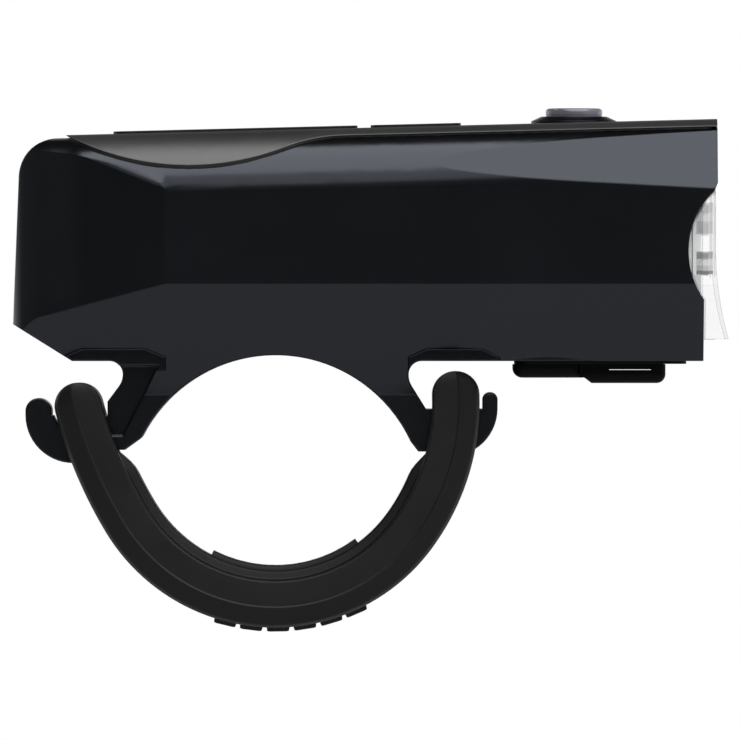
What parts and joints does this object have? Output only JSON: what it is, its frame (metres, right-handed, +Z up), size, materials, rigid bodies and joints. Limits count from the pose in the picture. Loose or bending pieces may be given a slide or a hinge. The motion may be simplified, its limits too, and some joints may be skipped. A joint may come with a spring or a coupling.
{
  "type": "bicycle headlight",
  "caption": "Slim rechargeable bicycle headlight with a clear wrap-round lens, a top button, a covered charging port and a rubber strap that holds it over a handlebar.",
  "frame": {"origin": "middle of the handlebar seat, on the axis of the largest bar it takes", "axes": "+X along the beam, +Y along the handlebar, +Z up"},
  "size_m": [0.0863, 0.032, 0.0634],
  "materials": {
    "housing": "satin",
    "lid": "fine matte grain",
    "pad": "satin",
    "bezel": "satin",
    "button": "smoky, translucent",
    "lens": "clear, polished",
    "reflector": "metallised, mirror bright",
    "rubber": "matte",
    "seal": "matte",
    "plate": "matte",
    "board": "satin",
    "chip": "matte",
    "cradle": "matte",
    "steel": "plated",
    "contact": "plated",
    "sink": "milled",
    "cell": "shrink sleeve",
    "status": "clear",
    "emitter": "clear",
    "lead": "sleeved"
  },
  "bodies": {
    "light": {"housing": "housing", "top_cover": "lid", "rear_top_pad": "pad", "front_top_pad": "pad", "button_bezel": "bezel", "tact_switch": "chip", "main_board": "board", "status_leds": "status", "control_chip": "chip", "driver_coil": "chip", "battery_cell": "cell", "battery_contact_rear": "contact", "battery_contact_front": "contact", "battery_cradle": "cradle", "heat_sink": "sink", "led_board": "sink", "led_emitter": "emitter", "lamp_screws": "steel", "reflector": "reflector", "lens": "lens", "lens_gasket": "seal", "usb_socket": "steel", "usb_board": "board", "port_plate": "plate", "port_cover_base": "rubber", "cover_screws": "steel", "board_screws": "steel", "usb_screws": "steel", "battery_leads": "lead", "led_leads": "lead", "usb_leads": "lead"},
    "button": {"button_cap": "button"},
    "plunger": {"switch_plunger": "bezel"},
    "port_flap": {"port_cover_flap": "rubber"},
    "strap": {"strap": "rubber"}
  },
  "joints": [
    {"name": "button_press", "type": "slide", "parent": "light", "child": "button", "axis": [0, 0, -1], "range_m": [0, 0.0005], "stiffness_N_per_m": 2400},
    {"name": "plunger_travel", "type": "slide", "parent": "light", "child": "plunger", "axis": [0, 0, -1], "range_m": [0, 0.0005]},
    {"name": "port_cover_hinge", "type": "hinge", "parent": "light", "child": "port_flap", "pos_m": [0.03735, 0, 0.01533], "axis": [0, 1, 0], "range_deg": [0, 100], "stiffness_Nm_per_rad": 0.002},
    {"name": "strap_stretch", "type": "slide", "parent": "light", "child": "strap", "axis": [0, 0, -1], "range_m": [0, 0.0105], "stiffness_N_per_m": 900, "deforming": ["strap"]}
  ],
  "couplings": [
    {"joint": "plunger_travel", "follows": "button_press", "ratio": 1}
  ]
}
